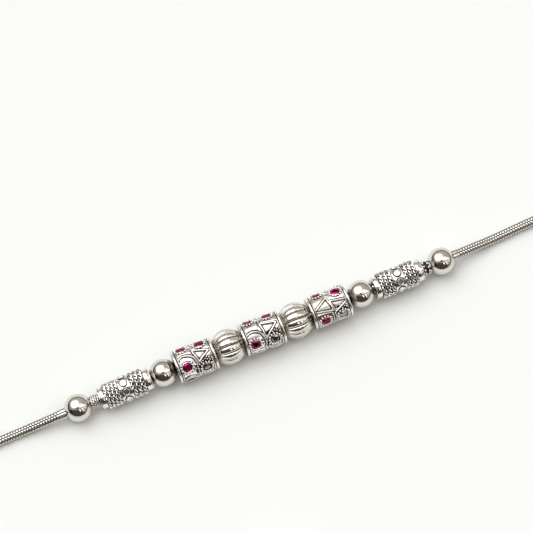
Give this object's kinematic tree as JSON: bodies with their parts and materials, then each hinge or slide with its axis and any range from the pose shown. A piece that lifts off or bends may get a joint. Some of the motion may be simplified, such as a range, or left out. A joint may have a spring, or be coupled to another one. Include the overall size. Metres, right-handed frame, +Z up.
{
  "type": "beaded anklet",
  "caption": "Silver snake-chain anklet with plain and fluted ball beads, rope-ringed tubes and drum beads set with ruby and clear stones, closed by a plain clasp.",
  "frame": {"origin": "middle of the loop's box, on the surface it lies on", "axes": "+Z up; +Y away from the viewer; +X to the right along the beaded front"},
  "size_m": [0.1034, 0.0606, 0.0057],
  "materials": {
    "silver_polished": "polished",
    "silver_chain": "polished",
    "silver_cast": "cast and polished",
    "ruby_glass": "faceted",
    "clear_glass": "faceted"
  },
  "bodies": {
    "root": {"chain": "silver_chain", "clasp": "silver_polished", "outer_ball_left": "silver_polished", "inner_ball_left": "silver_polished", "inner_ball_right": "silver_polished", "outer_ball_right": "silver_polished", "fluted_left": "silver_polished", "fluted_right": "silver_polished", "coil_left": "silver_cast", "coil_right": "silver_cast", "tube_left": "silver_cast", "tube_right": "silver_cast", "drum_left": "silver_cast", "drum_middle": "silver_cast", "drum_right": "silver_cast", "ruby_left_1": "ruby_glass", "ruby_left_2": "ruby_glass", "ruby_left_3": "ruby_glass", "ruby_left_4": "ruby_glass", "ruby_left_5": "ruby_glass", "ruby_left_6": "ruby_glass", "ruby_middle_1": "ruby_glass", "ruby_middle_2": "ruby_glass", "ruby_middle_3": "ruby_glass", "ruby_middle_4": "ruby_glass", "ruby_middle_5": "ruby_glass", "ruby_middle_6": "ruby_glass", "ruby_right_1": "ruby_glass", "ruby_right_2": "ruby_glass", "ruby_right_3": "ruby_glass", "ruby_right_4": "ruby_glass", "ruby_right_5": "ruby_glass", "ruby_right_6": "ruby_glass", "clear_left_1": "clear_glass", "clear_left_2": "clear_glass", "clear_middle_1": "clear_glass", "clear_middle_2": "clear_glass", "clear_right_1": "clear_glass", "clear_right_2": "clear_glass"}
  },
  "joints": []
}
